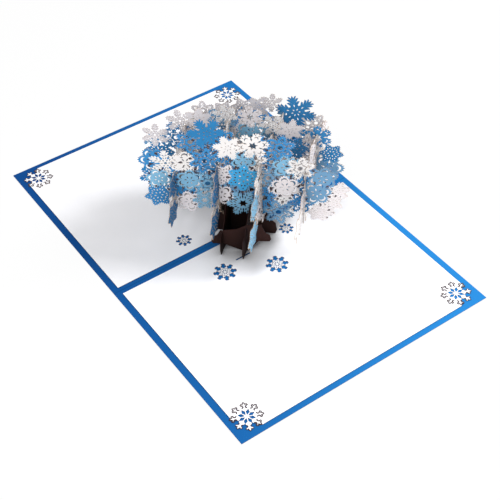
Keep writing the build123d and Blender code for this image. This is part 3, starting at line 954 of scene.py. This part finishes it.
finish_node("cover", blue_card)
for node in nodes:
    if node.startswith("trunk"):
        finish_node(node, brown_card)
liner_sheet("near_liner", -1, card_spot(TRUNK_ALONG[1], along_axis - TAB_REACH, -TAB_OFFSET))
liner_sheet("far_liner", 1, card_spot(TRUNK_ALONG[0], along_axis + TAB_REACH, TAB_OFFSET))

# %% [markdown]
# ## Trunk sheets that stand on the card
# The two along sheets of the trunk are cut again here with a low near shoulder, so that the
# front slice of the crown is seen whole. Their other slots, feet and tabs stay as they were.

# %% Trunk sheets along
TRUNK_BODY, TRUNK_TOP, WAIST = 16.0, 46.0, 24.0
FOOT_REACH, FOOT_HEIGHT, FLOOR = 27.0, 16.0, 0.7
LOCKS = [12.0, 20.0, 12.0]
TRUNK_SPACING = 17.7
TRUNK_ACROSS_PLACES = [TRUNK_ACROSS + TRUNK_SPACING * step for step in (-1, 0, 1)]
SHOULDER_RUN, SHOULDER_FALL = 2.0, 1.0
TAB_TOP = 1.0
TAB_WIDTH = (TAB_GAP - 2 * SLOT_CLEARANCE - SHEET * cos(TURN)) / sin(TURN)


def root_side(side):
    """One side of an along sheet, from its waist down to the toe of its root."""
    flare = FOOT_REACH - TRUNK_BODY
    edge = [
        (TRUNK_BODY, WAIST),
        (TRUNK_BODY + flare * 0.35, FLOOR + FOOT_HEIGHT + (WAIST - FLOOR - FOOT_HEIGHT) * 0.35),
        (FOOT_REACH - flare * 0.12, FLOOR + FOOT_HEIGHT),
        (FOOT_REACH, FLOOR + FOOT_HEIGHT * 0.35),
        (FOOT_REACH - flare * 0.15, FLOOR),
    ]
    return [(along_axis + side * x, z) for x, z in edge]


def trunk_along(number, place, tab_spot):
    """An along sheet of the trunk with its slots and its tab."""
    step = crossing(place, ACROSS_PLACES[0])
    shoulder = [(step - SHOULDER_RUN, HEAD_LOCK - SHOULDER_FALL), (step, HEAD_LOCK), (step, TRUNK_TOP)]
    far_end = along_axis + TRUNK_HEAD
    head = [(far_end, TRUNK_TOP), (far_end, HEAD_LOCK), (along_axis + TRUNK_BODY, HEAD_LOCK)]
    left, right = tab_spot - TAB_WIDTH / 2, tab_spot + TAB_WIDTH / 2
    tab = [(left, COVER_THICKNESS), (right, COVER_THICKNESS), (right, TAB_TOP), (left, TAB_TOP)]
    holes = [slot_box(crossing(place, root), BELOW, lock) for root, lock in zip(TRUNK_ACROSS_PLACES, LOCKS)]
    for other in ACROSS_PLACES:
        if abs(crossing(place, other) - along_axis) < TRUNK_HEAD:
            holes.append(slot_box(crossing(place, other), HEAD_LOCK, ABOVE))
    name = f"trunk_along_{number}"
    PATTERNS[name] = (turned(root_side(-1)[::-1] + shoulder + head + root_side(1)), [])
    PATTERNS[name + "_tab"] = (turned(tab), [])
    sheets = [(0, 0, 1, 0, name, "brown"), (0, 0, 1, 0, name + "_tab", "brown")]
    points, triangles, inks = cut_sheet(sheets, holes)
    palette = {"brown": brown_card}
    piece = thicken(name + "_paper", points, triangles, inks, along_point(place), palette, brown_card)
    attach(piece, "root")
    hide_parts(name)


trunk_along(1, TRUNK_ALONG[0], along_axis + TAB_REACH)
trunk_along(2, TRUNK_ALONG[1], along_axis - TAB_REACH)

# %% [markdown]
# ## Floor and light
# The card lies on white. The floor is nearly plain white to the camera and still takes a
# trace of the object's shadow. The key lamp stands high on the right, a little behind the
# object, a broader one stands on the left of the camera, and a soft world fills the rest.

# %% Floor
# Half its length and its drop in metres, and how much of it is plain white to the camera
GROUND_HALF, GROUND_DROP, GROUND_WHITE = 4.0, 0.0002, 0.92


def make_floor():
    """A wide white sheet under the card."""
    mesh = bpy.data.meshes.new("floor")
    half = GROUND_HALF
    level = cad_bounds[0][2] - GROUND_DROP
    mesh.from_pydata([(-half, -half, level), (half, -half, level), (half, half, level), (-half, half, level)],
                     [], [(0, 1, 2, 3)])
    floor = bpy.data.objects.new("floor", mesh)
    bpy.context.scene.collection.objects.link(floor)
    material = bpy.data.materials.new("floor_white")
    material.use_nodes = True
    tree = material.node_tree
    shader = tree.nodes["Principled BSDF"]
    shader.inputs["Base Color"].default_value = (0.95, 0.95, 0.95, 1)
    shader.inputs["Roughness"].default_value = 0.9
    glow, mix, path = (tree.nodes.new("ShaderNodeEmission"), tree.nodes.new("ShaderNodeMixShader"),
                       tree.nodes.new("ShaderNodeLightPath"))
    scale = tree.nodes.new("ShaderNodeMath")
    scale.operation = "MULTIPLY"
    scale.inputs[1].default_value = GROUND_WHITE
    link(tree, path, "Is Camera Ray", scale, 0)
    link(tree, scale, 0, mix, 0)
    tree.links.new(shader.outputs[0], mix.inputs[1])
    tree.links.new(glow.outputs[0], mix.inputs[2])
    tree.links.new(mix.outputs[0], tree.nodes["Material Output"].inputs["Surface"])
    mesh.materials.append(material)


make_floor()


# %% World and lamps
WORLD_LIGHT = 0.36


def make_world():
    """Soft white light all round, and plain white behind the object."""
    world = bpy.data.worlds.new("studio")
    bpy.context.scene.world = world
    world.use_nodes = True
    tree = world.node_tree
    back = tree.nodes["Background"]
    back.inputs["Color"].default_value = (1, 1, 1, 1)
    path, mix = tree.nodes.new("ShaderNodeLightPath"), tree.nodes.new("ShaderNodeMix")
    mix.inputs["A"].default_value = WORLD_LIGHT
    mix.inputs["B"].default_value = 1.0
    link(tree, path, "Is Camera Ray", mix, "Factor")
    link(tree, mix, "Result", back, "Strength")


def lamp(name, power, size, place, target=(0, 0, 0.03)):
    """A square area lamp turned to the object."""
    data = bpy.data.lights.new(name, "AREA")
    data.energy = power
    data.size = size
    light = bpy.data.objects.new(name, data)
    light.location = place
    light.rotation_euler = (Vector(target) - Vector(place)).to_track_quat("-Z", "Y").to_euler()
    bpy.context.scene.collection.objects.link(light)


make_world()
lamp("key", 11.0, 0.34, (0.85, -0.33, 0.79))
lamp("fill", 9.5, 0.6, (-0.75, -0.50, 0.92))
bpy.context.scene.view_settings.view_transform = "Standard"
